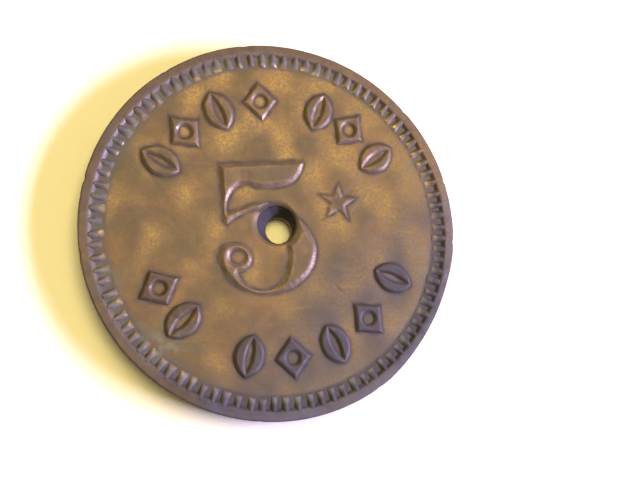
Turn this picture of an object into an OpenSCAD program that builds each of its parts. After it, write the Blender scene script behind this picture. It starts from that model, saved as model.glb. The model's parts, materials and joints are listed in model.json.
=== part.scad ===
// Struck brass value token with a punched centre hole.
// The origin is at the middle of the round outline in the plane of the reverse rim, +Z points
// out of the obverse and +Y points to the top of the numeral. Everything is in millimetres.

/* [Blank] */
// Outside diameter of the token
token_d = 21; // [19:0.5:24]
// Thickness over both rims
token_t = 1.6; // [1.4:0.1:2.4]
// How far each field lies below its rim
relief_h = 0.15; // [0.1:0.01:0.25]
// Width of the plain rim
rim_w = 0.6; // [0.4:0.05:0.8]
// Size of the worn corner on the rim's outer edge
rim_wear = 0.12; // [0.05:0.01:0.14]

/* [Hole] */
// Diameter of the straight land that the punch left
hole_d = 1.5; // [1.3:0.02:1.54]
// Diameter of the dragged-in mouth on the obverse
mouth_d = 2.24; // [2.2:0.02:2.4]
// Shortest length of the straight land, measured from the reverse field
land_len = 0.5; // [0.4:0.05:0.8]
// Width of the burr around the exit of the hole
burr_w = 0.22; // [0.15:0.01:0.3]
// Height of the burr over the reverse field
burr_h = 0.06; // [0.04:0.01:0.09]

/* [Denticles] */
// Number of denticles in each ring
denticle_n = 93; // [60:1:96]
// Radial length of a denticle
denticle_len = 0.74; // [0.4:0.02:0.8]
// Width of a denticle where it meets the field
denticle_w = 0.42; // [0.3:0.02:0.5]
// Height of a denticle
denticle_h = 0.11; // [0.06:0.01:0.14]

/* [Ornaments] */
// Length of a ring ornament, along the radius
ornament_len = 2.4; // [1.6:0.1:2.6]
// Width of a leaf in the ring of ornaments
ornament_w = 1.7; // [1:0.05:1.8]
// Width of a lozenge in the ring of ornaments
lozenge_w = 2.1; // [1.2:0.1:2.2]
// Radius of the circle through the ornaments' centres
ornament_r = 7.2; // [7:0.1:7.6]
// Outer radius of the small star beside the numeral
small_star_r = 1.25; // [0.7:0.05:1.3]

/* [Reverse] */
// Radius of the wreath's middle line
wreath_r = 7.4; // [7:0.1:7.6]
// Length of a wreath leaf
leaf_len = 1.9; // [1.6:0.1:2]
// Width of a wreath leaf
leaf_w = 0.9; // [0.7:0.05:1]
// Number of leaf pairs on each branch
leaf_pairs = 7; // [4:1:8]
// Outer radius of the large star around the hole
large_star_r = 4.2; // [3:0.1:4.4]

/* [Hidden] */
$fn = 64;
token_r = token_d / 2;
field_lo = relief_h;                    // the reverse field
field_hi = token_t - relief_h;          // the obverse field
rim_in = token_r - rim_w;               // inner wall of both rims
denticle_out = sqrt(rim_in * rim_in - denticle_w * denticle_w / 4);    // outer ends, at the rim
denticle_in = denticle_out - denticle_len;
hole_r = hole_d / 2;
mouth_r = mouth_d / 2;
cut_r = mouth_r + 0.08;                 // relief is dragged away this close to the hole
mouth_at = [0.05, 0.15];                // the punch met the obverse here
land_at = [0.28, -0.08];                // and leaned, so the land's axis lies to one side
cone_lo = field_lo + land_len;          // the mouth's cone first meets the land at this height
cone_lo_r = hole_r - norm(land_at - mouth_at);      // and has this radius there
cone_slope = (mouth_r - cone_lo_r) / (field_hi - cone_lo);
overcut = 0.1;                          // how far cuts run on past the faces that they open
curve_steps = 8;                        // straight pieces in each curve of an outline
numeral_relief = 0.15;                  // heights over the field
ornament_relief = 0.14;
small_star_relief = 0.07;
reverse_relief = 0.12;
small_star_at = [3.66, 1.2];
star_waist = 0.42;                      // a star's inner radius as a share of its outer one
stem_w = 0.28;
tie_half_angle = 15;                    // the stems start this far from the bottom, clear of the bow
bronze = [0.45, 0.36, 0.27];
dark_bronze = [0.33, 0.27, 0.25];

// Where the ornaments sit, in degrees clockwise from the numeral's top
upper_left_at = [-57, -40, -22, -2.5];
upper_right_at = [25, 41, 59];
lower_right_at = [117, 139, 158, 178, 197];
lower_left_at = [229, 246];

// A cubic curve from a to d that leaves towards b and arrives from c
function curve(a, b, c, d) = [for (i = [1:curve_steps]) let (t = i / curve_steps, s = 1 - t)
    s * s * s * a + 3 * s * s * t * b + 3 * s * t * t * c + t * t * t * d];

// Outline of the numeral five, clockwise from the top left corner of its flag
numeral_outline = concat(
    [[-2.95, 3.7], [1.85, 3.75], [1.95, 3.55]],
    curve([1.95, 3.55], [1.8, 3.05], [1.55, 2.5], [0.95, 2.33]),
    curve([0.95, 2.33], [0.2, 2.08], [-0.6, 2.08], [-1.4, 2.35]),
    curve([-1.4, 2.35], [-2, 2.5], [-2.65, 1.9], [-2.62, 0.95]),
    curve([-2.62, 0.95], [-1.9, 1.15], [-1.3, 1.42], [-0.6, 1.42]),
    curve([-0.6, 1.42], [0.6, 1.42], [2.2, -0.1], [2.2, -1.3]),
    curve([2.2, -1.3], [2.2, -2.8], [0.75, -3.7], [-0.6, -3.7]),
    curve([-0.6, -3.7], [-2.3, -3.7], [-3.35, -2.7], [-3.35, -1.5]),
    curve([-3.35, -1.5], [-3.35, -1], [-3, -0.75], [-2.45, -0.75]),
    curve([-2.45, -0.75], [-1.85, -0.75], [-1.45, -1.15], [-1.45, -1.6]),
    curve([-1.45, -1.6], [-1.45, -2], [-1.7, -2.35], [-2.3, -2.4]),
    curve([-2.3, -2.4], [-2.1, -3], [-1.6, -3.43], [-1, -3.43]),
    curve([-1, -3.43], [0, -3.43], [0.5, -2.5], [0.5, -1.4]),
    curve([0.5, -1.4], [0.5, -0.2], [-0.2, 0.98], [-1.1, 0.98]),
    curve([-1.1, 0.98], [-1.7, 0.85], [-2.2, 0.6], [-2.72, 0.22]),
    [[-2.95, 0.45]]);
numeral_eye = [-2.3, -1.55, 0.36];      // centre and radius of the dimple in the ball terminal

// Turns its children to an angle that runs clockwise from +Y
module at_clock(angle, radius) {
    rotate([0, 0, -angle]) translate([0, radius, 0]) children();
}

module raised_on_obverse(height) {
    translate([0, 0, field_hi]) linear_extrude(height) children();
}

module raised_on_reverse(height) {
    translate([0, 0, field_lo - height]) linear_extrude(height) children();
}

// Pointed oval between two arcs, lying along Y
module pointed_oval(len, width) {
    arc_r = (len * len + width * width) / (4 * width);
    intersection() {
        translate([arc_r - width / 2, 0]) circle(arc_r);
        translate([width / 2 - arc_r, 0]) circle(arc_r);
    }
}

// Pointed oval with a sunken vein
module leaf(len, width) {
    difference() {
        pointed_oval(len, width);
        pointed_oval(len * 0.62, width * 0.16);
    }
}

// Lozenge with a sunken centre
module lozenge() {
    difference() {
        polygon([[0, ornament_len / 2], [lozenge_w / 2, 0],
            [0, -ornament_len / 2], [-lozenge_w / 2, 0]]);
        circle(lozenge_w * 0.15);
    }
}

// Every second place holds a lozenge, starting with a leaf
module ornament_run(places) {
    for (i = [0:len(places) - 1]) at_clock(places[i], ornament_r) {
        if (i % 2 == 0) leaf(ornament_len, ornament_w);
        else lozenge();
    }
}

module star(outer_r) {
    polygon([for (i = [0:9]) let (r = i % 2 == 0 ? outer_r : outer_r * star_waist)
        [r * sin(36 * i), r * cos(36 * i)]]);
}

// One bar with a round back, lying on the plane z = 0 and standing up along +Z
module denticle() {
    back_r = (denticle_w * denticle_w / 4 + denticle_h * denticle_h) / (2 * denticle_h);
    translate([0, denticle_in, 0]) intersection() {
        translate([0, 0, denticle_h - back_r]) rotate([-90, 0, 0])
            cylinder(r = back_r, h = denticle_len);
        translate([-denticle_w, 0, 0]) cube([2 * denticle_w, denticle_len, denticle_h]);
    }
}

module denticle_ring() {
    for (i = [0:denticle_n - 1]) rotate([0, 0, 360 * i / denticle_n]) denticle();
}

// Rim standing up along +Z from the plane z = 0, with a worn outer corner
module rim() {
    rotate_extrude() polygon([[rim_in, 0], [token_r, 0], [token_r, relief_h - rim_wear / 2],
        [token_r - rim_wear, relief_h], [rim_in, relief_h]]);
}

// Cone of the dragged-in mouth, running on into the land and over the field
module mouth_cut() {
    translate([mouth_at[0], mouth_at[1], cone_lo - overcut])
        cylinder(h = field_hi - cone_lo + 2 * overcut,
            r1 = cone_lo_r - overcut * cone_slope, r2 = mouth_r + overcut * cone_slope);
}

module struck_blank() {
    color(bronze) difference() {
        translate([0, 0, field_lo]) cylinder(h = field_hi - field_lo, r = token_r);
        mouth_cut();
        translate([land_at[0], land_at[1], field_lo - overcut])
            cylinder(h = field_hi - field_lo + 2 * overcut, r = hole_r);
    }
}

module obverse_rim() {
    color(dark_bronze) translate([0, 0, field_hi]) rim();
}

module obverse_denticles() {
    color(dark_bronze) translate([0, 0, field_hi]) denticle_ring();
}

module value_numeral() {
    color(dark_bronze) raised_on_obverse(numeral_relief) difference() {
        polygon(numeral_outline);
        translate([numeral_eye[0], numeral_eye[1]]) circle(numeral_eye[2]);
        translate(mouth_at) circle(cut_r);
    }
}

// Small star that stands for the unit of value, beside the numeral
module value_star() {
    color(dark_bronze) raised_on_obverse(small_star_relief)
        translate(small_star_at) rotate(-8) star(small_star_r);
}

module upper_ornaments_left() {
    color(dark_bronze) raised_on_obverse(ornament_relief) ornament_run(upper_left_at);
}

module upper_ornaments_right() {
    color(dark_bronze) raised_on_obverse(ornament_relief) ornament_run(upper_right_at);
}

module lower_ornaments_right() {
    color(dark_bronze) raised_on_obverse(ornament_relief) ornament_run(lower_right_at);
}

module lower_ornaments_left() {
    color(dark_bronze) raised_on_obverse(ornament_relief) ornament_run(lower_left_at);
}

module reverse_rim() {
    color(dark_bronze) translate([0, 0, field_lo]) mirror([0, 0, 1]) rim();
}

module reverse_denticles() {
    color(dark_bronze) translate([0, 0, field_lo]) mirror([0, 0, 1]) denticle_ring();
}

module reverse_star() {
    color(dark_bronze) raised_on_reverse(reverse_relief) difference() {
        star(large_star_r);
        translate(land_at) circle(hole_r + burr_w);
    }
}

// Part of a ring between two angles, counted anticlockwise from -Y
module arc_band(radius, width, from, to) {
    reach = radius * 1.5;
    intersection() {
        difference() {
            circle(radius + width / 2, $fn = 128);
            circle(radius - width / 2, $fn = 128);
        }
        polygon([[0, 0], for (i = [0:3]) let (a = from + (to - from) * i / 3)
            [reach * sin(a), -reach * cos(a)]]);
    }
}

// One branch: a stem with pairs of leaves that lean off it towards the top
module wreath_branch() {
    first_at = 27;                      // degrees from the bottom to the first pair
    last_at = 150;
    step = (last_at - first_at) / (leaf_pairs - 1);
    lean = 30;                          // degrees that each leaf turns off the stem
    offset_r = leaf_w * 0.66;
    raised_on_reverse(reverse_relief) {
        arc_band(wreath_r, stem_w, tie_half_angle, last_at + 4);
        for (i = [0:leaf_pairs - 1], side = [-1, 1])
            rotate(first_at + i * step) translate([0, -wreath_r - side * offset_r])
                rotate(90 - side * lean) leaf(leaf_len, leaf_w);
        rotate(last_at + 12) translate([0, -wreath_r]) rotate(90) leaf(leaf_len, leaf_w);
    }
}

module wreath_left() {
    color(dark_bronze) mirror([1, 0, 0]) wreath_branch();
}

module wreath_right() {
    color(dark_bronze) wreath_branch();
}

// Bow that ties the two branches at the bottom
module wreath_tie() {
    color(dark_bronze) raised_on_reverse(reverse_relief) translate([0, -wreath_r]) {
        circle(0.5);
        for (side = [-1, 1]) translate([side * 1.15, 0]) rotate(90) leaf(1.5, 0.9);
    }
}

module hole_burr() {
    color(dark_bronze) translate(land_at) rotate_extrude() polygon([[hole_r, field_lo],
        [hole_r + burr_w, field_lo], [hole_r + burr_w / 3, field_lo - burr_h],
        [hole_r, field_lo - burr_h]]);
}

struck_blank();
obverse_rim();
obverse_denticles();
value_numeral();
value_star();
upper_ornaments_left();
upper_ornaments_right();
lower_ornaments_left();
lower_ornaments_right();
reverse_rim();
reverse_denticles();
reverse_star();
wreath_left();
wreath_right();
wreath_tie();
hole_burr();
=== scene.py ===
"""The looks of a worn, struck brass value token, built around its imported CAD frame.

Every mesh is worked out in millimetres in the frame's own axes and scaled to metres at the end.
Obverse relief stands on obverse_ground() and reverse relief hangs under reverse_ground(), so each
piece follows the uneven struck blank. inside() functions give how far a point lies within an
outline, in millimetres, and are negative outside it.
"""
import json
import math

import bpy
import numpy as np
from mathutils import Matrix, Vector


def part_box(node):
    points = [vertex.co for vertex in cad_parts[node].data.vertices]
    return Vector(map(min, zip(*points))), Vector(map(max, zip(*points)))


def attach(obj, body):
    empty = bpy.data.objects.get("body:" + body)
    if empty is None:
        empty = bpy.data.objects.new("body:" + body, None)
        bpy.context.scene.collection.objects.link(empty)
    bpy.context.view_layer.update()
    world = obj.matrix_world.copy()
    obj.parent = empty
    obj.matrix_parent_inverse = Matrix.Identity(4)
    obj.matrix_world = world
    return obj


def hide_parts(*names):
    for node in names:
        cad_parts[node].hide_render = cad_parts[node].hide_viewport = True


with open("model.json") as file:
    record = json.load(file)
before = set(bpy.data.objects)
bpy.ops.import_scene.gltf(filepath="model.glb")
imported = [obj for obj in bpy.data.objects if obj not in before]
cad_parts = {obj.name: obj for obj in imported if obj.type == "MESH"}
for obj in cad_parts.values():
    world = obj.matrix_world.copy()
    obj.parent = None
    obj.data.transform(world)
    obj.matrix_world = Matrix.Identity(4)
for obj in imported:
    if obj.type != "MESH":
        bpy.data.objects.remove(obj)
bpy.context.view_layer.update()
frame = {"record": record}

MM = 0.001


# ---------------------------------------------------------------- sizes, from the frame where it has them

def corners_mm(node):
    low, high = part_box(node)
    return np.array(low) / MM, np.array(high) / MM


def record_mount(name):
    return next(m for m in frame["record"]["mounts"] if m["name"] == name)


TOKEN_R = corners_mm("struck_blank")[1][0]
FIELD_LO = corners_mm("struck_blank")[0][2]
FIELD_HI = corners_mm("struck_blank")[1][2]
RIM_HI = corners_mm("obverse_rim")[1][2]
RIM_LO = corners_mm("reverse_rim")[0][2]
RIM_IN = corners_mm("obverse_denticles")[1][1]
HOLE_R = record_mount("hole")["dims"]["r_mm"]
LAND_AT = np.array(record_mount("hole")["pos_m"][:2]) / MM
LAND_LEN = 0.5                   # the shortest length of the hole's straight land
MOUTH_AT = np.array((0.05, 0.15))
MOUTH_R = 1.12
CUT_R = MOUTH_R + 0.08           # relief is dragged away this close to the hole
DENTICLE_LEN = 0.74
DENTICLE_W = 0.42
DENTICLE_H = 0.11
DENTICLE_END = 0.24              # length of a denticle's rounded inner end
DENTICLES = 93
ORNAMENT_R = 7.2
ORNAMENT_LEN = 2.4
ORNAMENT_W = 1.7
LOZENGE_W = 2.1
SMALL_STAR_AT = (3.66, 1.2)
SMALL_STAR_R = 1.25
SMALL_STAR_TURN = math.radians(-8)
LARGE_STAR_R = 4.2
STAR_WAIST = 0.42
BURR_W = 0.22
WREATH_R = 7.4
LEAF_LEN = 1.9
LEAF_W = 0.9
LEAF_PAIRS = 7
LEAF_LEAN = math.radians(30)
FIRST_LEAVES_AT = 27             # degrees from the wreath's bottom to its first and last leaf pairs
LAST_LEAVES_AT = 150
STEM_FROM = 15
STEM_TO = LAST_LEAVES_AT + 4
TIP_LEAF_AT = LAST_LEAVES_AT + 12
STEM_W = 0.28
KNOT_R = 0.5
BOW_LEN = 1.5
BOW_W = 0.9
BOW_OUT = 1.15                   # from the knot's middle to the middle of each loop of the bow
SKIRT = 0.07                     # how far relief reaches outside its outline, under the field
SINK = 0.09                      # how far it reaches into the blank
BELOW_RIM = 0.01                 # how far the tallest relief stays below the rim
DENTICLE_BELOW_RIM = 0.018


# ---------------------------------------------------------------- unevenness

def waves(x, y, wavelength, seed, count=12):
    """Smooth unevenness around 0, mostly under 1.4, about wavelength mm from crest to crest."""
    rng = np.random.default_rng(seed)
    total = 0.0
    for _ in range(count):
        turn, phase = rng.uniform(0, 2 * math.pi, 2)
        pace = 2 * math.pi / (wavelength * rng.uniform(0.7, 1.4))
        total = total + np.cos(pace * (x * math.cos(turn) + y * math.sin(turn)) + phase)
    return total / math.sqrt(count)


def bump(distance, width):
    return np.exp(-((distance / width) ** 2))


def smooth(low, high, value):
    t = np.clip((value - low) / (high - low), 0, 1)
    return t * t * (3 - 2 * t)


# Dings in the obverse field: x, y, half length, half width, direction in degrees, depth
DINGS = [
    (-3.9, 6.3, 0.5, 0.09, 70, 0.03), (4.5, 1.9, 0.9, 0.12, 38, 0.03),
    (5.0, 1.1, 0.7, 0.1, 47, 0.025), (3.2, -3.7, 0.35, 0.09, -50, 0.03),
    (-5.6, 0.6, 0.4, 0.1, -60, 0.02), (-3.3, -6.9, 0.14, 0.08, 0, 0.03),
    (-6.6, 3.1, 0.6, 0.12, -65, 0.025), (1.4, 5.6, 0.5, 0.08, 10, 0.02),
    (-1.0, -5.1, 0.6, 0.1, 25, 0.02), (6.9, 0.4, 0.7, 0.12, 60, 0.03),
    (6.4, 2.6, 0.4, 0.1, 20, 0.025), (-7.4, -2.2, 0.35, 0.1, 80, 0.02),
]


def ding_depth(x, y):
    total = 0.0
    for cx, cy, half_len, half_w, turn, depth in DINGS:
        c, s = math.cos(math.radians(turn)), math.sin(math.radians(turn))
        along, across = (x - cx) * c + (y - cy) * s, (y - cy) * c - (x - cx) * s
        total = total + depth * bump(along, half_len) * bump(across, half_w)
    return total


def bezier(a, b, c, d, steps):
    t = np.linspace(0, 1, steps + 1)[1:, None]
    a, b, c, d = (np.array(p, float) for p in (a, b, c, d))
    return (1 - t) ** 3 * a + 3 * (1 - t) ** 2 * t * b + 3 * (1 - t) * t ** 2 * c + t ** 3 * d


LIP_TURN = math.radians(150)     # the punch leaned, and dragged the lip in most on this side
LIP_DEPTH = 0.12
LIP_W = 0.14                     # width of the lip where it is narrowest
LIP_DRAG = 0.3                   # how much wider it gets on the side of LIP_TURN
WALL_R = MOUTH_R - 0.03          # the lip turns into the hole's wall here
WALL_TOP = FIELD_HI - 0.2


def from_mouth(x, y):
    return np.hypot(x - MOUTH_AT[0], y - MOUTH_AT[1])


def lip_dip(x, y):
    """How far the field is dragged down beside the hole's mouth."""
    share = 0.5 + 0.5 * np.cos(np.arctan2(y - MOUTH_AT[1], x - MOUTH_AT[0]) - LIP_TURN)
    t = np.clip((from_mouth(x, y) - WALL_R) / (LIP_W + LIP_DRAG * share), 0, 1)
    return LIP_DEPTH * (0.6 + 0.8 * share) * (1 - t) ** 2


def obverse_ground(x, y):
    """Height of the obverse field, with its waves and dings, dipping at the hole's mouth."""
    uneven = 0.009 * waves(x, y, 3.2, seed=1) + 0.004 * waves(x, y, 1.0, seed=2) - ding_depth(x, y)
    return FIELD_HI - lip_dip(x, y) + uneven * smooth(MOUTH_R, MOUTH_R + 0.6, from_mouth(x, y))


def reverse_ground(x, y):
    return FIELD_LO + 0.008 * waves(x, y, 3.0, seed=3) + 0.004 * waves(x, y, 1.0, seed=4)


def levels(up):
    """Heights of the field and the rim: the obverse's where up is 1, the reverse's where it is -1."""
    return (FIELD_HI, RIM_HI) if up > 0 else (FIELD_LO, RIM_LO)


def ground_on(up):
    return obverse_ground if up > 0 else reverse_ground


# ---------------------------------------------------------------- outlines

def polygon_inside(points):
    points = np.array(points, float)
    nexts = np.roll(points, -1, axis=0)

    def inside(x, y):
        nearest = np.full(np.shape(x), 1e9)
        odd = np.zeros(np.shape(x), bool)
        for (ax, ay), (bx, by) in zip(points, nexts):
            ex, ey = bx - ax, by - ay
            t = np.clip(((x - ax) * ex + (y - ay) * ey) / (ex * ex + ey * ey + 1e-12), 0, 1)
            nearest = np.minimum(nearest, np.hypot(x - ax - t * ex, y - ay - t * ey))
            if ay != by:
                crosses = (ay > y) != (by > y)
                odd ^= crosses & (x < ax + (y - ay) * ex / ey)
        return np.where(odd, nearest, -nearest)
    return inside


def placed(local, clock_deg, radius, turn=0.0):
    """An outline moved out to a radius at an angle clockwise from +Y, and turned there."""
    a = math.radians(clock_deg)
    c, s = math.cos(turn), math.sin(turn)

    def inside(x, y):
        u = x * math.cos(a) - y * math.sin(a)
        v = x * math.sin(a) + y * math.cos(a) - radius
        return local(u * c + v * s, v * c - u * s)
    return inside


def pointed_oval(length, width):
    arc_r = (length ** 2 + width ** 2) / (4 * width)
    off = arc_r - width / 2
    return lambda u, v: arc_r - np.hypot(np.abs(u) + off, v)


def leaf(length, width, vein=0.16):
    outer = pointed_oval(length, width)
    groove = pointed_oval(length * 0.62, width * vein)
    return lambda u, v: np.minimum(outer(u, v), -groove(u, v))


def lozenge(length, width):
    a, b = length / 2, width / 2
    scale = a * b / math.hypot(a, b)

    def inside(u, v):
        outer = (1 - np.abs(u) / b - np.abs(v) / a) * scale
        return np.minimum(outer, np.hypot(u, v) - width * 0.15)
    return inside


def star_points(radius, turn=0.0, centre=(0, 0)):
    radii = [radius if i % 2 == 0 else radius * STAR_WAIST for i in range(10)]
    angles = [math.radians(36 * i) - turn for i in range(10)]
    return [(centre[0] + r * math.sin(a), centre[1] + r * math.cos(a)) for r, a in zip(radii, angles)]


def numeral_points(steps=14):
    """Outline of the five, clockwise from the top left corner of its flag."""
    bends = [
        [(1.8, 3.05), (1.55, 2.5), (0.95, 2.33)],
        [(0.2, 2.08), (-0.6, 2.08), (-1.4, 2.35)],
        [(-2.0, 2.5), (-2.65, 1.9), (-2.62, 0.95)],
        [(-1.9, 1.15), (-1.3, 1.42), (-0.6, 1.42)],
        [(0.6, 1.42), (2.2, -0.1), (2.2, -1.3)],
        [(2.2, -2.8), (0.75, -3.7), (-0.6, -3.7)],
        [(-2.3, -3.7), (-3.35, -2.7), (-3.35, -1.5)],
        [(-3.35, -1.0), (-3.0, -0.75), (-2.45, -0.75)],
        [(-1.85, -0.75), (-1.45, -1.15), (-1.45, -1.6)],
        [(-1.45, -2.0), (-1.7, -2.35), (-2.3, -2.4)],
        [(-2.1, -3.0), (-1.6, -3.43), (-1.0, -3.43)],
        [(0.0, -3.43), (0.5, -2.5), (0.5, -1.4)],
        [(0.5, -0.2), (-0.2, 0.98), (-1.1, 0.98)],
        [(-1.7, 0.85), (-2.2, 0.6), (-2.72, 0.22)],
    ]
    points = [(-2.95, 3.7), (1.85, 3.75), (1.95, 3.55)]
    for bend in bends:
        points.extend(bezier(points[-1], *bend, steps))
    return np.vstack([points, (-2.95, 0.45)])


NUMERAL_EYE = (-2.3, -1.55, 0.36)        # centre and radius of the dimple in the ball terminal


def numeral():
    body = polygon_inside(numeral_points())
    ex, ey, er = NUMERAL_EYE

    def inside(x, y):
        eye = np.hypot(x - ex, y - ey) - er
        hole = from_mouth(x, y) - CUT_R
        return np.minimum(np.minimum(body(x, y), eye), hole)
    return inside


def ornaments(places):
    """Leaf and lozenge by turns, each with the middle and half width of the square it lies in."""
    shapes = [leaf(ORNAMENT_LEN, ORNAMENT_W), lozenge(ORNAMENT_LEN, LOZENGE_W)]
    out = []
    for i, clock in enumerate(places):
        a = math.radians(clock)
        centre = ORNAMENT_R * math.sin(a), ORNAMENT_R * math.cos(a)
        out.append((placed(shapes[i % 2], clock, ORNAMENT_R), centre, ORNAMENT_LEN * 0.6))
    return out


def wreath_parts(side):
    """Leaves and stem of one branch; side is 1 for the right branch seen through the token."""
    step = (LAST_LEAVES_AT - FIRST_LEAVES_AT) / (LEAF_PAIRS - 1)
    blade = leaf(LEAF_LEN, LEAF_W)
    leaves = []
    for i in range(LEAF_PAIRS):
        for lean in (-1, 1):
            leaves.append((FIRST_LEAVES_AT + i * step, WREATH_R + lean * LEAF_W * 0.66, lean * LEAF_LEAN))
    leaves.append((TIP_LEAF_AT, WREATH_R, 0.0))

    def stem(x, y):
        angle = np.degrees(np.arctan2(side * x, -y))
        band = STEM_W / 2 - np.abs(np.hypot(x, y) - WREATH_R)
        ends = np.minimum(angle - STEM_FROM, STEM_TO - angle) * math.radians(WREATH_R)
        return np.minimum(band, ends)

    insides = [stem]
    for at, radius, lean in leaves:
        a = math.radians(at)
        turn = math.pi / 2 - lean
        c, s = math.cos(turn), math.sin(turn)

        def blade_inside(x, y, a=a, radius=radius, c=c, s=s):
            x = side * x
            u = x * math.cos(a) + y * math.sin(a)
            v = y * math.cos(a) - x * math.sin(a) + radius
            return blade(u * c + v * s, v * c - u * s)
        insides.append(blade_inside)
    return insides


def union(insides):
    def inside(x, y):
        best = insides[0](x, y)
        for other in insides[1:]:
            best = np.maximum(best, other(x, y))
        return best
    return inside


def small_star():
    return polygon_inside(star_points(SMALL_STAR_R, SMALL_STAR_TURN, SMALL_STAR_AT))


def large_star():
    """The reverse star, which stops at the burr around the hole."""
    body = polygon_inside(star_points(LARGE_STAR_R))
    x0, y0 = LAND_AT
    return lambda x, y: np.minimum(body(x, y), np.hypot(x - x0, y - y0) - HOLE_R - BURR_W)


def wreath_bow():
    loop = leaf(BOW_LEN, BOW_W)
    return union([lambda x, y: KNOT_R - np.hypot(x, y + WREATH_R),
                  lambda x, y: loop(y + WREATH_R, x - BOW_OUT),
                  lambda x, y: loop(y + WREATH_R, x + BOW_OUT)])


# ---------------------------------------------------------------- meshes

def signed_volume(points, quads):
    a, b, c, d = (points[quads[:, i]] for i in range(4))
    return (np.einsum("ij,ij->i", a, np.cross(b, c)) + np.einsum("ij,ij->i", a, np.cross(c, d))).sum()


def make_piece(name, points, quads, layers, node, material):
    """A closed mesh object in place of a CAD node; layers are its per-point masks for the material."""
    if signed_volume(points, quads) < 0:
        quads = quads[:, ::-1]
    mesh = bpy.data.meshes.new(name)
    mesh.vertices.add(len(points))
    mesh.vertices.foreach_set("co", (points * MM).astype(np.float32).ravel())
    mesh.loops.add(quads.size)
    mesh.loops.foreach_set("vertex_index", quads.astype(np.int32).ravel())
    mesh.polygons.add(len(quads))
    mesh.polygons.foreach_set("loop_start", np.arange(0, quads.size, 4, dtype=np.int32))
    mesh.update(calc_edges=True)
    mesh.validate()
    mesh.polygons.foreach_set("use_smooth", np.ones(len(mesh.polygons), bool))
    # the slate mask is toning and, at the lower right, a painted blue reflection of the window light
    layers = {**layers, "slate": slate(points[:, 0], points[:, 1])}
    for layer, values in layers.items():
        made = mesh.attributes.new(layer, "FLOAT", "POINT")
        made.data.foreach_set("value", np.broadcast_to(values, len(points)).astype(np.float32).copy())
    mesh.materials.append(material)
    piece = bpy.data.objects.new(name, mesh)
    bpy.context.scene.collection.objects.link(piece)
    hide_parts(node)
    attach(piece, "root")
    return piece


def gradient(inside, x, y, step=0.004):
    gx = (inside(x + step, y) - inside(x - step, y)) / (2 * step)
    gy = (inside(x, y + step) - inside(x, y - step)) / (2 * step)
    length = np.maximum(np.hypot(gx, gy), 1e-6)
    return gx / length, gy / length


def relief_patch(inside, centre, reach, height_at, ground, up, cell):
    """A closed patch of relief: its top follows height_at, its outline ends under the ground."""
    span = np.arange(-reach, reach + cell, cell)
    x, y = np.meshgrid(centre[0] + span, centre[1] + span, indexing="ij")
    middle_x, middle_y = x[:-1, :-1] + cell / 2, y[:-1, :-1] + cell / 2
    keep = inside(middle_x, middle_y) > -SKIRT
    used = np.zeros(x.shape, int)
    for dx in (0, 1):
        for dy in (0, 1):
            used[dx:dx + keep.shape[0], dy:dy + keep.shape[1]] += keep
    on = used > 0
    edge = on & (used < 4)
    gx, gy = gradient(inside, x[edge], y[edge])
    off = np.clip(-SKIRT - inside(x[edge], y[edge]), -cell * 0.6, cell * 0.6)
    x[edge] += off * gx
    y[edge] += off * gy
    depth = inside(x[on], y[on])
    base = ground(x[on], y[on])
    top = np.clip(base + up * height_at(depth, x[on], y[on]), RIM_LO + BELOW_RIM, RIM_HI - BELOW_RIM)
    count = int(on.sum())
    index = np.full(x.shape, -1)
    index[on] = np.arange(count)
    quads = np.stack([index[:-1, :-1], index[1:, :-1], index[1:, 1:], index[:-1, 1:]], -1)[keep]
    under = np.full(count, levels(up)[0] - up * SINK)
    sides = np.vstack([quads[:, [a, b]] for a, b in ((0, 1), (1, 2), (2, 3), (3, 0))])
    keys = sides[:, 0] * count + sides[:, 1]
    back = sides[:, 1] * count + sides[:, 0]
    rim = sides[~np.isin(keys, back)]
    walls = np.stack([rim[:, 1], rim[:, 0], rim[:, 0] + count, rim[:, 1] + count], -1)
    points = np.concatenate([np.stack([x[on], y[on], top], -1), np.stack([x[on], y[on], under], -1)])
    quads = np.vstack([quads, quads[:, ::-1] + count, walls])
    return points, quads, np.concatenate([depth, np.full(count, -1.0)])


def join(patches):
    points, quads, depths, start = [], [], [], 0
    for p, q, d in patches:
        points.append(p)
        quads.append(q + start)
        depths.append(d)
        start += len(p)
    return np.vstack(points), np.vstack(quads), np.concatenate(depths)


def struck_height(height, flank, seed):
    """Worn relief with soft shoulders and feet, dropping below the ground outside its outline."""
    foot_out, foot_low = 0.04, 0.01

    def at(depth, x, y):
        unevenness = 0.09 * waves(x, y, 1.3, seed) + 0.05 * waves(x, y, 0.45, seed + 1)
        worn = height * (1 + unevenness)
        rise = (worn + foot_low) * smooth(-foot_out, flank, depth) - foot_low
        return np.where(depth > -foot_out, rise, -foot_low + (depth + foot_out) * 2)
    return at


def relief_piece(node, parts, height, flank, tone, soot, seed, material, up, cell):
    """One node of relief: flank is the width of its sides, tone and soot its brown and its dirt."""
    ground = ground_on(up)
    height_at = struck_height(height, flank, seed)
    patches = [relief_patch(inside, centre, reach, height_at, ground, up, cell)
               for inside, centre, reach in parts]
    points, quads, depth = join(patches)
    x, y = points[:, 0], points[:, 1]
    # the relief's foot is toned and grimed darker all round: dirt in the crease, and painted shade at the
    # relief's sides
    foot = bump(np.maximum(depth, 0), 0.05)
    # a paler band along the middle of the flanks, all round: worn metal, and partly painted highlight
    shoulder = bump(depth - 0.45 * flank, 0.45 * flank)
    layers = {
        "tone": np.clip(tone + 0.15 * waves(x, y, 1.5, seed + 40) + 0.8 * bump(depth, 0.6 * flank), 0, 1),
        "grime": np.clip(foot * (0.8 + 0.25 * waves(x, y, 0.8, seed + 41)) + soot, 0, 1),
        "wear": np.clip(shoulder * (0.8 + 0.3 * waves(x, y, 1.1, seed + 42)), 0, 1),
        "verdigris": verdigris(x, y),
    }
    return make_piece(node + "_struck", points, quads, layers, node, material)


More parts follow.
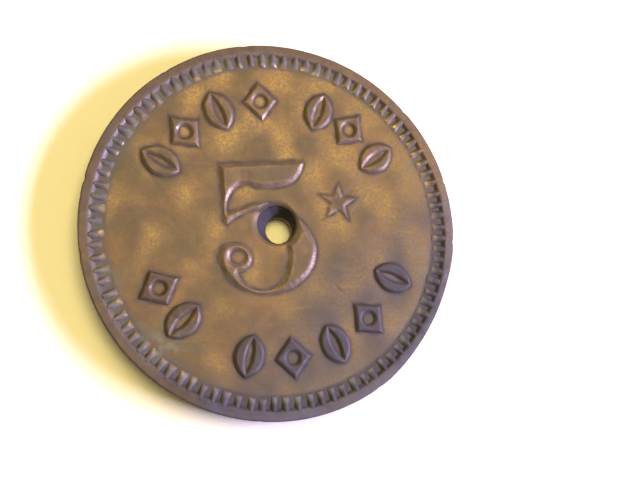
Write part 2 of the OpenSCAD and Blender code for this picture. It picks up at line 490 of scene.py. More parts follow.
def ring_mesh(profile, sectors, shape):
    """A closed ring: profile is a loop of (radius, height) and shape moves each point."""
    turn = np.linspace(0, 2 * math.pi, sectors, endpoint=False)
    r = np.repeat(profile[:, 0:1], sectors, axis=1)
    z = np.repeat(profile[:, 1:2], sectors, axis=1)
    a = np.repeat(turn[None, :], len(profile), axis=0)
    r, z = shape(r, z, a)
    points = np.stack([r * np.cos(a), r * np.sin(a), z], -1).reshape(-1, 3)
    j, i = np.meshgrid(np.arange(len(profile)), np.arange(sectors), indexing="ij")
    j2, i2 = (j + 1) % len(profile), (i + 1) % sectors
    quads = np.stack([j * sectors + i, j * sectors + i2, j2 * sectors + i2, j2 * sectors + i], -1)
    return points, quads.reshape(-1, 4)


# ---------------------------------------------------------------- edge, rims, denticles

RIM_SINK = 0.07                  # how far the rims reach into the blank
RIM_FOOT = RIM_IN - 0.12         # the rim's inner side runs from this radius at the field
RIM_SHOULDER = RIM_IN + 0.16     # to this one at the top
RIM_CORNER = TOKEN_R - 0.1       # where the rounding of the outer corner starts
BRUISE_DEPTH = 0.12

# Directions from the middle, anticlockwise from +X
BRUISE_TURN = math.radians(-34)
BRUISE_HALF = math.radians(19)
# where the rim is golden, partly as a painted warm reflection
GOLDEN_GLINT_RIM_TURN = math.radians(188)
DARK_RIM_TURN = math.radians(245)
# where the rim's top is worn lighter, partly as painted highlight
RUBBED_LIT_RIM_TURN = math.radians(20)
WORN_RING_TURN = math.radians(-35)
RUBBED_RING_TURN = math.radians(30)
BROWN_RING_TURN = math.radians(28)


def turn_gap(a, centre):
    return np.abs((a - centre + math.pi) % (2 * math.pi) - math.pi)


def bruise(a):
    """The flattened stretch of the edge, from 0 beside it to 1 along it."""
    return bump(turn_gap(a, BRUISE_TURN) ** 2, BRUISE_HALF ** 2)


# Nicks in the obverse corner of the edge: where, how deep, and half width, in degrees and mm
NICKS = [(-62, 0.025, 1.3), (-140, 0.05, 0.9), (38, 0.05, 0.8), (95, 0.04, 1.2), (163, 0.05, 0.9),
         (-100, 0.04, 0.7), (12, 0.05, 0.7), (121, 0.035, 0.8), (-175, 0.04, 1.0), (-8, 0.05, 1.0)]


def edge_inset(a, z):
    """How far the worn outer edge lies inside the full radius."""
    middle = (RIM_HI + RIM_LO) / 2
    half = (RIM_HI - RIM_LO) / 2
    high = smooth(middle - 0.2, RIM_HI, z)
    inset = 0.012 * ((z - middle) / half) ** 2 + BRUISE_DEPTH * bruise(a) * (0.35 + 0.65 * high)
    for at, depth, wide in NICKS:
        inset = inset + depth * bump(turn_gap(a, math.radians(at)), math.radians(wide)) * high
    x, y = 9 * np.cos(a), 9 * np.sin(a)
    return np.maximum(inset + 0.008 * waves(x, y, 5.0, seed=11) + 0.003 * waves(x, y, 0.8, seed=12), 0)


def dirt_and_shade_share(x, y):
    """How much the ring is darkened here: most at the lower right, none at the upper left. It is partly
    soiling and partly painted shade on the inward walls at the lower right, which face away from the window
    light.
    """
    lower_right = (0.5 * x - 0.85 * y) / TOKEN_R
    return np.clip(0.35 + 0.5 * lower_right + 0.12 * waves(x, y, 2.2, seed=19), 0, 1)


def rubbed_ends(x, y):
    """Where the ring is worn bright: at its upper right and lower left, from 0 to 1."""
    return smooth(0.1, 1.0, np.cos(2 * (np.arctan2(y, x) - RUBBED_RING_TURN)))


def rim_profile(up):
    """Loop of a rim's section from its inner foot over its top to its outer foot, and back."""
    field, top = levels(up)
    foot = field - up * RIM_SINK
    inner_rise = bezier((RIM_FOOT, field), (RIM_IN - 0.02, field + up * 0.02),
                        (RIM_IN, top - up * 0.01), (RIM_SHOULDER, top), 9)
    across = np.linspace(RIM_SHOULDER, RIM_CORNER, 8)[1:]
    outer_fall = bezier((RIM_CORNER, top), (TOKEN_R - 0.03, top), (TOKEN_R, top - up * 0.03),
                        (TOKEN_R, top - up * 0.09), 7)
    return np.array([(RIM_FOOT - 0.02, foot), (RIM_FOOT, field), *inner_rise,
                     *[(r, top) for r in across], *outer_fall, (TOKEN_R, field), (TOKEN_R, foot),
                     (RIM_CORNER, foot), ((RIM_IN + TOKEN_R) / 2, foot)])


def rim_shape(up):
    field, top = levels(up)

    def shape(r, z, a):
        x, y = r * np.cos(a), r * np.sin(a)
        share = smooth(RIM_IN + 0.1, TOKEN_R, r)
        raised = np.clip((z - field) / (top - field), 0, 1)
        worn = 0.008 * waves(x, y, 2.6, seed=13 + up) + 0.004 * waves(x, y, 0.6, seed=15 + up)
        bruised = 0.03 * bruise(a) * share if up > 0 else 0.0
        z = z - up * raised * (0.012 + np.abs(worn) + bruised)
        inner = (1 - share) * 0.03 * waves(x, y, 1.2, seed=17 + up)
        return r - share * edge_inset(a, z) + inner * raised, z
    return shape


def rim_piece(node, up, material):
    points, quads = ring_mesh(rim_profile(up), 720, rim_shape(up))
    x, y, z = points.T
    r, a = np.hypot(x, y), np.arctan2(y, x)
    field, top = levels(up)
    raised = np.clip((z - field) / (top - field), 0, 1)
    inner = (1 - smooth(0.4, 1.0, raised)) * (r < RIM_IN + 0.3)
    seam = (1 - smooth(0.0, 0.6, raised)) * (r > TOKEN_R - 0.4)
    # painted shade along the rounded outer corner of the rim's top
    corner_shade = bump(r + edge_inset(a, z) - TOKEN_R, 0.04) * bump(raised - 0.6, 0.3)
    # the rim is toned less, so golden, at the left: its colour, and partly a painted warm reflection of the
    # yellow-lit floor beside it
    golden_and_warm_glint = bump(turn_gap(a, GOLDEN_GLINT_RIM_TURN), 0.5)
    dark = 0.35 * bruise(a) + 0.3 * bump(turn_gap(a, DARK_RIM_TURN), 0.3)
    # the rim's top is lighter on the right, where the window light falls: worn metal, and partly painted
    # highlight
    rubbed_side_highlight = bump(turn_gap(a, RUBBED_LIT_RIM_TURN), 0.9)
    # painted highlight on the rim's inner wall at the upper left, where it faces the window light, over
    # worn metal
    rubbed_edge_highlight = bump(r - RIM_IN - 0.02, 0.1) * (0.5 - dirt_and_shade_share(x, y))
    layers = {
        "tone": np.clip(0.95 - 0.7 * golden_and_warm_glint + 0.1 * waves(x, y, 2.5, seed=21), 0, 1),
        # the inner foot is darker towards the lower right (dirt, and painted shade where the wall faces
        # away from the window light), the outer corner carries painted shade, the seam has dirt, and the
        # bruise and lower left are darker
        "grime": np.clip(dirt_and_shade_share(x, y) * inner + 0.9 * seam + 0.8 * corner_shade + dark
                         + 0.1 * waves(x, y, 0.9, seed=22), 0, 1),
        "wear": np.clip(rubbed_edge_highlight + 0.6 * rubbed_side_highlight * raised, 0, 1),
        "verdigris": verdigris(x, y),
    }
    return make_piece(node + "_struck", points, quads, layers, node, material)


def denticle_patch(at, rng, up):
    """One worn bar of the ring: a small grid with a round back, closed under the field.

    u runs outwards from the inner end and v across the bar. The back climbs to meet the rim.
    """
    length = DENTICLE_LEN + 0.1
    width = DENTICLE_W * rng.uniform(0.85, 1.25)
    worn_side = 0.4 * bump(turn_gap(at, WORN_RING_TURN), 1.1)
    struck = 0.9 - worn_side + 0.2 * waves(8 * math.cos(at), 8 * math.sin(at), 4.0, seed=18)
    height = DENTICLE_H * struck * rng.uniform(0.6, 1.1)
    start = RIM_IN - DENTICLE_LEN * rng.uniform(0.82, 1.08)
    along = np.linspace(-SKIRT, length, 17)
    across = np.linspace(-1, 1, 13) * (width / 2 + SKIRT * 0.5)
    u, v = np.meshgrid(along, across, indexing="ij")
    end = np.sin(np.clip(u / DENTICLE_END, -0.5, 1) * math.pi / 2)
    back = np.cos(np.clip(v / width, -0.8, 0.8) * math.pi)
    share = np.minimum(end, back)
    at_rim = 0.93 * (RIM_HI - FIELD_HI) / height
    climb = 0.75 + (at_rim - 0.75) * smooth(0.2, 0.95, u / DENTICLE_LEN)
    rise = np.where(share > 0, height * end * back * climb, np.maximum(share * height * 1.4, -SINK * 0.8))
    r = start + u
    c, s = math.cos(at), math.sin(at)
    x, y = r * c - v * s, r * s + v * c
    top = np.clip(ground_on(up)(x, y) + up * rise, RIM_LO + DENTICLE_BELOW_RIM, RIM_HI - DENTICLE_BELOW_RIM)
    under = np.full(x.shape, levels(up)[0] - up * SINK)
    rows, cols = x.shape
    count = rows * cols
    index = np.arange(count).reshape(rows, cols)
    quads = np.stack([index[:-1, :-1], index[1:, :-1], index[1:, 1:], index[:-1, 1:]], -1).reshape(-1, 4)
    border = np.concatenate([index[:-1, 0], index[-1, :-1], index[:0:-1, -1], index[0, :0:-1]])
    after = np.roll(border, -1)
    walls = np.stack([after, border, border + count, after + count], -1)
    points = np.concatenate([np.stack([x.ravel(), y.ravel(), h.ravel()], -1) for h in (top, under)])
    return points, np.vstack([quads, quads[:, ::-1] + count, walls]), np.concatenate([share.ravel()] * 2)


def denticle_piece(node, up, material, seed):
    rng = np.random.default_rng(seed)
    pitch = 2 * math.pi / DENTICLES
    patches = [denticle_patch(math.pi / 2 + i * pitch + rng.uniform(-0.09, 0.09) * pitch, rng, up)
               for i in range(DENTICLES)]
    points, quads, share = join(patches)
    x, y = points[:, 0], points[:, 1]
    outer = smooth(RIM_IN - 0.5, RIM_IN - 0.2, np.hypot(x, y))
    # the bars' inner ends are painted lighter where they face the window light, most at the upper left:
    # painted highlight over worn metal
    tip_wear_and_highlight = bump(np.hypot(x, y) - RIM_IN + DENTICLE_LEN - 0.16, 0.16) * (1.2 - dirt_and_shade_share(x, y))
    tip_wear_and_highlight = tip_wear_and_highlight * np.clip(0.7 + 0.8 * waves(x, y, 0.9, seed + 3), 0.1, 1.4)
    layers = {
        "tone": np.clip(0.95 - 0.6 * upper_right(x, y) + 0.1 * waves(x, y, 2.0, seed + 1), 0, 1),
        # darker between the bars and at their outer ends, more towards the lower right: dirt, and painted
        # shade in the pits
        "grime": np.clip((1.0 - smooth(0.1, 0.9, share) + 0.7 * outer) * dirt_and_shade_share(x, y), 0, 1),
        "wear": tip_wear_and_highlight + 0.6 * rubbed_ends(x, y) * share.clip(0, 1),
        "verdigris": np.clip(verdigris(x, y) + 0.75 * (1 - dirt_and_shade_share(x, y)), 0, 1),
    }
    return make_piece(node + "_struck", points, quads, layers, node, material)


# ---------------------------------------------------------------- blank

SEAM_R = TOKEN_R - 0.03          # the blank's edge steps in to this radius under each rim

# Green-grey deposits in the recesses: x, y, radius, strength
DEPOSITS = [(-5.9, -5.6, 1.1, 0.9), (-7.4, -6.0, 1.0, 0.6), (8.9, 2.7, 0.9, 0.7), (8.6, -2.6, 1.0, 0.6),
            (7.2, -6.2, 1.2, 0.5), (3.6, -8.7, 1.3, 0.5), (-2.0, -6.9, 0.7, 0.6), (-7.9, 5.3, 0.9, 0.35),
            (-1.6, 0.9, 0.5, 0.4), (6.3, 3.6, 0.8, 0.35), (-9.0, -2.4, 1.0, 0.4), (0.4, -9.2, 1.0, 0.5)]

# Darker stains in the field, in the same form
STAINS = [(4.6, -2.9, 1.7, 1.0), (-4.6, 2.6, 1.5, 0.35), (0.2, 5.3, 1.2, 0.35), (2.2, -4.4, 1.0, 0.3),
          (-7.3, 1.2, 0.8, 0.2)]


def spotted(spots, x, y):
    total = 0.0
    for cx, cy, radius, strength in spots:
        total = total + strength * bump(np.hypot(x - cx, y - cy), radius)
    return total


def verdigris(x, y):
    return np.clip(spotted(DEPOSITS, x, y), 0, 1)


def upper_right(x, y):
    """The side of the ring that stayed brown, from 0 to 1."""
    return bump(turn_gap(np.arctan2(y, x), BROWN_RING_TURN), 0.9)


def slate(x, y):
    """Where brown and gold turn a cold blue-grey: at the lower right, where it is partly a painted blue
    reflection of the window light, and on most of the ring of denticles, where it is toning.
    """
    # painted blue reflection of the window light at the lower right, over slate toning
    lower_right = smooth(0.62, 0.78, 0.5 + 0.5 * (0.6 * x - 0.8 * y) / TOKEN_R)
    r = np.hypot(x, y)
    ring = 0.8 * bump(r - RIM_IN + 0.32, 0.52) * (1 - 0.8 * upper_right(x, y))
    return np.clip(np.maximum(0.9 * lower_right, ring) + 0.08 * waves(x, y, 3.0, seed=24), 0, 1)


def blank_profile():
    """Loop of the blank's section: reverse field outwards, edge, obverse field inwards, hole."""
    reverse = [(r, FIELD_LO) for r in np.linspace(HOLE_R + 0.1, RIM_IN + 0.2, 54)]
    edge = [(SEAM_R, FIELD_LO), (SEAM_R, FIELD_LO + 0.055)]
    edge += [(TOKEN_R, z) for z in np.linspace(FIELD_LO + 0.06, FIELD_HI - 0.06, 13)]
    edge += [(SEAM_R, FIELD_HI - 0.055), (SEAM_R, FIELD_HI)]
    lip_out = MOUTH_R + LIP_W + LIP_DRAG + 0.01
    obverse = [(r, FIELD_HI) for r in np.linspace(RIM_IN + 0.2, lip_out, 98)]
    lip = [(r, FIELD_HI) for r in np.linspace(lip_out, WALL_R, 18)[1:]]
    land_top = FIELD_LO + LAND_LEN
    wall = list(zip(np.linspace(WALL_R, HOLE_R, 10), np.linspace(WALL_TOP, land_top, 10)))
    land = [(HOLE_R, z) for z in np.linspace(land_top, FIELD_LO + 0.04, 6)[1:]]
    return np.array(reverse + edge + obverse + lip + wall + land)


def blank_shape(r, z, a):
    on_edge = r > RIM_IN + 0.3
    wall = (r < MOUTH_R) & (z < FIELD_HI - 0.01) & (z > FIELD_LO + 0.01)
    rough = np.where(wall, 0.012 * waves(6 * a, 5 * z, 3.0, seed=31) * smooth(FIELD_LO, WALL_TOP, z), 0)
    return r + rough - np.where(on_edge, edge_inset(a, z), 0), z


def aslant(points):
    """Points of the blank moved so that its hole runs from the mouth to the land, off the middle."""
    r = np.hypot(points[:, 0], points[:, 1])
    z = points[:, 2]
    down = np.clip((WALL_TOP - z) / (WALL_TOP - FIELD_LO - LAND_LEN), 0, 1)[:, None]
    near = 1 - smooth(MOUTH_R + 0.3, MOUTH_R + 2.5, r)[:, None]
    moved = points.copy()
    moved[:, :2] += near * ((1 - down) * MOUTH_AT + down * LAND_AT)
    x, y = moved[:, 0], moved[:, 1]
    inside_rim = r < RIM_IN + 0.25
    moved[:, 2] = np.where((z > FIELD_HI - 0.01) & inside_rim, obverse_ground(x, y), z)
    moved[:, 2] = np.where((z < FIELD_LO + 0.01) & inside_rim, reverse_ground(x, y), moved[:, 2])
    return moved


def blank_piece(material, reliefs):
    points, quads = ring_mesh(blank_profile(), 480, blank_shape)
    r = np.hypot(points[:, 0], points[:, 1])
    in_hole = (r < MOUTH_R) & (points[:, 2] < FIELD_HI - 0.1) & (points[:, 2] > FIELD_LO + 0.02)
    on_land = in_hole & (points[:, 2] < FIELD_LO + LAND_LEN - 0.05)
    points = aslant(points)
    x, y, z = points.T
    obverse = z > FIELD_HI - 0.1
    near = np.full(len(points), -9.0)
    near[obverse] = union(reliefs["obverse"])(x[obverse], y[obverse])
    reverse = z < FIELD_LO + 0.05
    near[reverse] = union(reliefs["reverse"])(x[reverse], y[reverse])
    outside = np.maximum(-near, 0)
    beaded = smooth(RIM_IN - DENTICLE_LEN - 0.12, RIM_IN - DENTICLE_LEN + 0.1, r)
    on_edge = r > RIM_IN + 0.2
    # the ring's floor is darker towards the lower right: dirt, and painted shade
    ring_dirt_and_shade = (0.05 + 0.7 * dirt_and_shade_share(x, y)) * (1 - 0.6 * rubbed_ends(x, y))
    # dark lines round the foot of the relief on the field: dirt, and painted shade
    foot_dirt_and_shade = 0.75 * bump(outside, 0.1) * (0.75 + 0.3 * waves(x, y, 0.9, seed=51))
    outer_tone = 0.75 * smooth(RIM_IN - 1.2, RIM_IN - 0.5, r) * (1 - 0.4 * upper_right(x, y))
    # the field is toned darker close to the relief, partly as painted shade at its foot
    field_tone = 0.3 * bump(outside, 0.3) + 0.08 + 0.14 * waves(x, y, 3.4, seed=52) + spotted(STAINS, x, y)
    # painted sheen: the field's wear is raised towards the upper right, where the lamp's reflection makes
    # the field lighter
    sheen_side = (0.75 * x + 0.65 * y) / TOKEN_R
    # in the hole the wall is toned and grimed fully: dirt, and painted shade on the wall
    layers = {
        "tone": np.clip(outer_tone + field_tone + in_hole, 0, 1) * np.where(on_edge, 0.4, 1.0) * ~on_land,
        "grime": np.clip(foot_dirt_and_shade + ring_dirt_and_shade * beaded + in_hole, 0, 1) * ~on_edge * ~on_land,
        "wear": np.clip(0.4 + 0.45 * waves(x, y, 2.6, seed=53) + 0.5 * sheen_side - beaded + on_land, 0, 1),
        "verdigris": np.clip(verdigris(x, y) + 0.5 * beaded * (1 - dirt_and_shade_share(x, y)), 0, 1) * obverse,
    }
    return make_piece("struck_blank_worn", points, quads, layers, "struck_blank", material)


def burr_piece(material):
    top = FIELD_LO + 0.03
    section = np.array([(HOLE_R, top), (HOLE_R + BURR_W, top), (HOLE_R + BURR_W, FIELD_LO),
                        (HOLE_R + 0.14, FIELD_LO - 0.035), (HOLE_R + 0.07, FIELD_LO - 0.055),
                        (HOLE_R + 0.02, FIELD_LO - 0.05), (HOLE_R - 0.005, FIELD_LO - 0.02)])

    def shape(r, z, a):
        x, y = np.cos(a), np.sin(a)
        low = np.clip((FIELD_LO - z) / 0.055, 0, 1)
        out = smooth(HOLE_R, HOLE_R + BURR_W, r)
        bitten = 0.0132 * (1 + waves(x, y, 0.5, seed=62))
        return r + out * 0.03 * waves(x, y, 0.8, seed=61), z + low * bitten

    points, quads = ring_mesh(section, 160, shape)
    points[:, :2] += LAND_AT
    grime = np.clip(0.3 + 0.3 * waves(points[:, 0], points[:, 1], 0.4, seed=63), 0, 1)
    layers = {"tone": 0.6, "grime": grime, "wear": 0.5, "verdigris": 0.0}
    return make_piece("hole_burr_struck", points, quads, layers, "hole_burr", material)


# ---------------------------------------------------------------- materials

class Shader:
    """Short names for the nodes of one material."""

    def __init__(self, name):
        self.material = bpy.data.materials.new(name)
        self.material.use_nodes = True
        self.tree = self.material.node_tree
        self.surface = self.tree.nodes["Principled BSDF"]
        self.place = self.tree.nodes.new("ShaderNodeTexCoord").outputs["Object"]

    def feed(self, socket, value):
        if isinstance(value, bpy.types.NodeSocket):
            self.tree.links.new(value, socket)
        else:
            socket.default_value = value

    def mask(self, name):
        node = self.tree.nodes.new("ShaderNodeAttribute")
        node.attribute_name = name
        return node.outputs["Fac"]

    def noise(self, size_mm, detail=4.0, roughness=0.55, stretch=(1, 1, 1), turn_deg=0.0, distortion=0.0):
        """Noise whose features are about size_mm across, stretched along turned axes."""
        mapping = self.tree.nodes.new("ShaderNodeMapping")
        self.feed(mapping.inputs["Vector"], self.place)
        mapping.inputs["Rotation"].default_value = (0, 0, math.radians(turn_deg))
        mapping.inputs["Scale"].default_value = tuple(s / (size_mm * MM) for s in stretch)
        node = self.tree.nodes.new("ShaderNodeTexNoise")
        self.feed(node.inputs["Vector"], mapping.outputs["Vector"])
        node.inputs["Scale"].default_value = 1.0
        node.inputs["Detail"].default_value = detail
        node.inputs["Roughness"].default_value = roughness
        node.inputs["Distortion"].default_value = distortion
        return node.outputs["Fac"]

    def span(self, value, low, high, to_low=0.0, to_high=1.0):
        node = self.tree.nodes.new("ShaderNodeMapRange")
        node.interpolation_type = "SMOOTHSTEP"
        self.feed(node.inputs["Value"], value)
        ends = {"From Min": low, "From Max": high, "To Min": to_low, "To Max": to_high}
        for socket, number in ends.items():
            node.inputs[socket].default_value = number
        return node.outputs["Result"]

    def math(self, operation, a, b=0.0, clamp=False):
        node = self.tree.nodes.new("ShaderNodeMath")
        node.operation = operation
        node.use_clamp = clamp
        self.feed(node.inputs[0], a)
        self.feed(node.inputs[1], b)
        return node.outputs["Value"]

    def mix(self, factor, a, b, blend="MIX"):
        node = self.tree.nodes.new("ShaderNodeMix")
        node.data_type = "RGBA"
        node.blend_type = blend
        self.feed(node.inputs[0], factor)
        self.feed(node.inputs[6], a)
        self.feed(node.inputs[7], b)
        return node.outputs[2]

    def bump(self, height, distance_mm, strength, normal=None):
        node = self.tree.nodes.new("ShaderNodeBump")
        node.inputs["Strength"].default_value = strength
        node.inputs["Distance"].default_value = distance_mm * MM
        self.feed(node.inputs["Height"], height)
        if normal is not None:
            self.feed(node.inputs["Normal"], normal)
        return node.outputs["Normal"]


def rgb(r, g, b):
    return (r, g, b, 1.0)


# dark colour of the grime mask: dirt, and painted shade in hollows, at the relief's feet and on walls
# facing away from the window light
DIRT_AND_SHADE = rgb(0.023, 0.022, 0.045)
DEPOSIT = rgb(0.16, 0.175, 0.135)


def worn_brass(name, gold, olive, toned, bright, cold, rubbed_highlight_tint, rub_highlight_share):
    """Toned struck brass: gold-coloured where it is worn, brown where it is toned, dark in recesses with
    soiling and painted shade.

    gold and olive alternate in broad patches with bright mottling over them. toned and cold take over
    where the tone mask and the blue-grey mask say so, the blue-grey partly a painted blue reflection of the
    window light. rub_highlight_share is how strongly rubbed_highlight_tint shows where the metal is worn
    and highlights are painted.
    """
    s = Shader(name)
    tone, grime, wear, green, cool = (s.mask(m) for m in ("tone", "grime", "wear", "verdigris", "slate"))
    broad = s.noise(size_mm=2.2, roughness=0.6, distortion=0.5)
    mottle = s.noise(size_mm=0.7, detail=6.0, roughness=0.62)
    fine = s.noise(size_mm=0.16, detail=5.0, roughness=0.6)
    streaks = s.noise(size_mm=0.9, roughness=0.6, stretch=(0.35, 2.4, 1), turn_deg=35)
    colour = s.mix(s.span(broad, 0.36, 0.64), gold, olive)
    colour = s.mix(s.math("MULTIPLY", s.span(mottle, 0.5, 0.7), 0.5), colour, bright)
    # cold colour where the slate mask says: slate toning, and at the lower right a painted blue reflection
    # of the window light
    cooled = s.math("MULTIPLY", cool, s.span(broad, 0.3, 0.7, 0.7, 1.0))
    colour = s.mix(s.math("MULTIPLY", cooled, 0.85), colour, cold)
    toning = s.math("ADD", tone, s.span(mottle, 0.3, 0.7, -0.14, 0.14), clamp=True)
    colour = s.mix(toning, colour, s.mix(cooled, toned, cold))
    colour = s.mix(s.math("MULTIPLY", s.span(streaks, 0.56, 0.74), 0.25), colour, bright)
    # pale tint where the wear mask is set: worn metal, and partly painted highlight
    rubbed_and_highlight = s.math("MULTIPLY", wear, s.span(fine, 0.25, 0.65, 0.4, 1.0))
    colour = s.mix(s.math("MULTIPLY", rubbed_and_highlight, rub_highlight_share), colour, rubbed_highlight_tint)
    deposit = s.math("MULTIPLY", green, s.span(mottle, 0.42, 0.62))
    colour = s.mix(s.math("MULTIPLY", deposit, 0.7), colour, DEPOSIT)
    # dark colour where the grime mask is set: dirt, and partly painted shade
    dirt_and_shade = s.math("MULTIPLY", grime, s.span(fine, 0.2, 0.6, 0.75, 1.0))
    colour = s.mix(s.math("MULTIPLY", dirt_and_shade, 0.92), colour, DIRT_AND_SHADE)
    s.feed(s.surface.inputs["Base Color"], colour)
    dull = s.math("MAXIMUM", dirt_and_shade, deposit)
    cover = s.math("MAXIMUM", dull, s.math("MULTIPLY", toning, 0.6))
    cover = s.math("SUBTRACT", cover, s.math("MULTIPLY", rubbed_and_highlight, 0.8), clamp=True)
    metallic = s.math("ADD", s.span(cover, 0.0, 1.0, 0.38, 0.05), s.math("MULTIPLY", rubbed_and_highlight, 0.2))
    s.feed(s.surface.inputs["Metallic"], metallic)
    rough = s.math("ADD", s.span(mottle, 0.3, 0.7, 0.56, 0.68), s.math("MULTIPLY", dull, 0.25))
    rough = s.math("SUBTRACT", rough, s.math("MULTIPLY", rubbed_and_highlight, 0.22))
    s.feed(s.surface.inputs["Roughness"], rough)
    edge_lines = s.noise(size_mm=0.2, detail=2.0, roughness=0.5, stretch=(1, 1, 0.06))
    normal = s.bump(fine, distance_mm=0.016, strength=0.5)
    normal = s.bump(s.span(mottle, 0.25, 0.42), distance_mm=0.012, strength=0.5, normal=normal)
    normal = s.bump(edge_lines, distance_mm=0.01, strength=0.3, normal=normal)
    normal = s.bump(streaks, distance_mm=0.02, strength=0.35, normal=normal)
    s.feed(s.surface.inputs["Normal"], normal)
    return s.material


def pale_paper():
    s = Shader("pale_paper")
    fibres = s.noise(size_mm=0.8, detail=5.0, roughness=0.6)
    s.feed(s.surface.inputs["Base Color"], s.mix(fibres, rgb(0.86, 0.86, 0.87), rgb(0.9, 0.9, 0.9)))
    s.surface.inputs["Roughness"].default_value = 0.9
    s.feed(s.surface.inputs["Normal"], s.bump(fibres, distance_mm=0.01, strength=0.2))
    return s.material


# ---------------------------------------------------------------- camera, light, floor

def pointing(at, aim, up):
    """The matrix of something at a point that looks along -Z at another, with +Y near up."""
    at, aim = Vector(at) * MM, Vector(aim) * MM
    back = (at - aim).normalized()
    right = Vector(up).cross(back).normalized()
    turn = Matrix((right, back.cross(right), back)).transposed().to_4x4()
    return Matrix.Translation(at) @ turn


CAMERA_AT = (-9.366, -7.437, 43.734)     # above the token's lower left, in millimetres
CAMERA_AIM = (2.363, -0.893, RIM_HI)
CAMERA_UP = (0.0556, 0.9843, 0.1676)
LENS_MM = 44.83
SENSOR_MM = 36
FLOOR_HALF_M = 0.6


def add_camera():
    data = bpy.data.cameras.new("camera")
    data.lens = LENS_MM
    data.sensor_width = SENSOR_MM
    data.clip_start = 0.001
    data.clip_end = 10
    camera = bpy.data.objects.new("camera", data)
    camera.matrix_world = pointing(CAMERA_AT, CAMERA_AIM, CAMERA_UP)
    bpy.context.scene.collection.objects.link(camera)
    bpy.context.scene.camera = camera


def add_area(name, azimuth, elevation, distance_mm, width_mm, height_mm, watts, colour):
    """A soft light around the token, pointing at it."""
    a, e = math.radians(azimuth), math.radians(elevation)
    at = distance_mm * np.array([math.cos(e) * math.cos(a), math.cos(e) * math.sin(a), math.sin(e)])
    data = bpy.data.lights.new(name, "AREA")
    data.shape = "RECTANGLE"
    data.size = width_mm * MM
    data.size_y = height_mm * MM
    data.energy = watts
    data.color = colour
    light = bpy.data.objects.new(name, data)
    light.matrix_world = pointing(at, (0, 0, RIM_HI), (0.01, 0.02, 1))
    bpy.context.scene.collection.objects.link(light)


def add_floor():
    half = FLOOR_HALF_M
    corners = [(-half, -half, 0), (half, -half, 0), (half, half, 0), (-half, half, 0)]
    mesh = bpy.data.meshes.new("floor")
    mesh.from_pydata(corners, [], [(0, 1, 2, 3)])
    mesh.materials.append(pale_paper())
    floor = bpy.data.objects.new("floor", mesh)
    bpy.context.scene.collection.objects.link(floor)


def add_world(colour, strength):
    world = bpy.data.worlds.new("room")
    world.use_nodes = True
    background = world.node_tree.nodes["Background"]
    background.inputs["Color"].default_value = colour
    background.inputs["Strength"].default_value = strength
    bpy.context.scene.world = world


add_camera()
add_floor()
add_world(rgb(1.0, 0.82, 0.42), strength=0.3)
add_area("window", azimuth=-12, elevation=30, distance_mm=300, width_mm=150, height_mm=50,
         watts=2.0, colour=(0.68, 0.62, 0.93))
add_area("room_lamp", azimuth=78, elevation=70, distance_mm=420, width_mm=280, height_mm=280,
         watts=1.75, colour=(1.0, 0.78, 0.26))
bpy.context.scene.view_settings.view_transform = "Standard"

# ---------------------------------------------------------------- the token

field_brass = worn_brass(
    "worn_brass_field", gold=rgb(0.15, 0.095, 0.051), olive=rgb(0.108, 0.08, 0.046),
    toned=rgb(0.075, 0.056, 0.054), bright=rgb(0.21, 0.135, 0.072), cold=rgb(0.068, 0.061, 0.082),
    rubbed_highlight_tint=rgb(0.25, 0.165, 0.11), rub_highlight_share=0.4)
relief_brass = worn_brass(
    "toned_brass_relief", gold=rgb(0.17, 0.11, 0.068), olive=rgb(0.105, 0.08, 0.056),
    toned=rgb(0.076, 0.048, 0.037), bright=rgb(0.17, 0.12, 0.1), cold=rgb(0.072, 0.073, 0.135),
    rubbed_highlight_tint=rgb(0.27, 0.2, 0.17), rub_highlight_share=0.6)

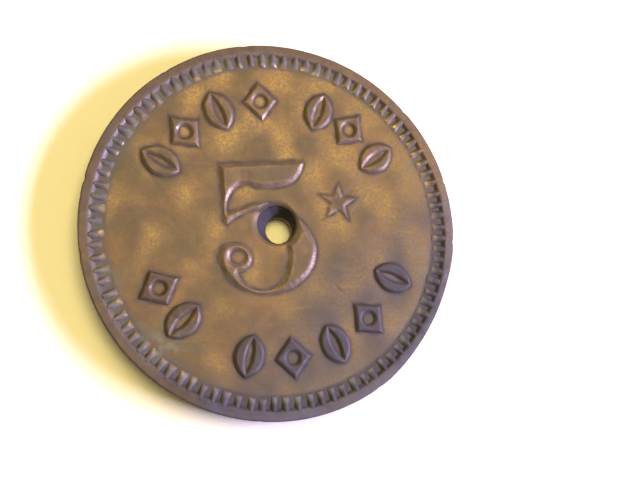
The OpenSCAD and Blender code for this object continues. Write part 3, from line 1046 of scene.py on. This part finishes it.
# A part of relief is its inside() function, the middle of the square it lies in, and half its width.
# Ornaments stand at these degrees clockwise from the numeral's top.
UPPER_LEFT = ornaments([-57, -40, -22, -2.5])
UPPER_RIGHT = ornaments([25, 41, 59])
LOWER_RIGHT = ornaments([117, 139, 158, 178, 197])
LOWER_LEFT = ornaments([229, 246])
NUMERAL = [(numeral(), (-0.55, 0.0), 4.0)]
SMALL_STAR = [(small_star(), SMALL_STAR_AT, SMALL_STAR_R + 0.2)]
WREATH_LEFT, WREATH_RIGHT = ([(union(wreath_parts(side)), (side * 4.3, 0), 8.4)] for side in (-1, 1))
LARGE_STAR = [(large_star(), (0, 0), LARGE_STAR_R + 0.3)]
BOW = [(wreath_bow(), (0, -WREATH_R), 2.1)]

OBVERSE = UPPER_LEFT + UPPER_RIGHT + LOWER_RIGHT + LOWER_LEFT + NUMERAL + SMALL_STAR
REVERSE = LARGE_STAR + WREATH_LEFT + WREATH_RIGHT + BOW
blank_piece(field_brass, {"obverse": [part[0] for part in OBVERSE],
                          "reverse": [part[0] for part in REVERSE]})
rim_piece("obverse_rim", 1, relief_brass)
rim_piece("reverse_rim", -1, relief_brass)
denticle_piece("obverse_denticles", 1, relief_brass, seed=71)
denticle_piece("reverse_denticles", -1, relief_brass, seed=81)

# Node, parts, height, width of the flanks, brown tone, dirt and seed of each piece of relief
OBVERSE_RELIEF = [
    ("value_numeral", NUMERAL, 0.14, 0.38, 0.1, 0.0, 91),
    ("value_star", SMALL_STAR, 0.07, 0.28, 0.35, 0.1, 92),
    ("upper_ornaments_left", UPPER_LEFT, 0.13, 0.25, 0.15, 0.05, 93),
    ("upper_ornaments_right", UPPER_RIGHT, 0.13, 0.25, 0.3, 0.05, 94),
    ("lower_ornaments_right", LOWER_RIGHT, 0.14, 0.22, 1.0, 0.55, 95),
    ("lower_ornaments_left", LOWER_LEFT, 0.14, 0.22, 0.9, 0.25, 96),
]
REVERSE_RELIEF = [
    ("reverse_star", LARGE_STAR, 0.12, 0.5, 0.5, 0.1, 97),
    ("wreath_left", WREATH_LEFT, 0.12, 0.2, 0.7, 0.1, 98),
    ("wreath_right", WREATH_RIGHT, 0.12, 0.2, 0.7, 0.1, 99),
    ("wreath_tie", BOW, 0.12, 0.2, 0.7, 0.1, 100),
]
for row in OBVERSE_RELIEF:
    relief_piece(*row, relief_brass, up=1, cell=0.04)
for row in REVERSE_RELIEF:
    relief_piece(*row, relief_brass, up=-1, cell=0.05 if row[1] is BOW else 0.06)
burr_piece(relief_brass)
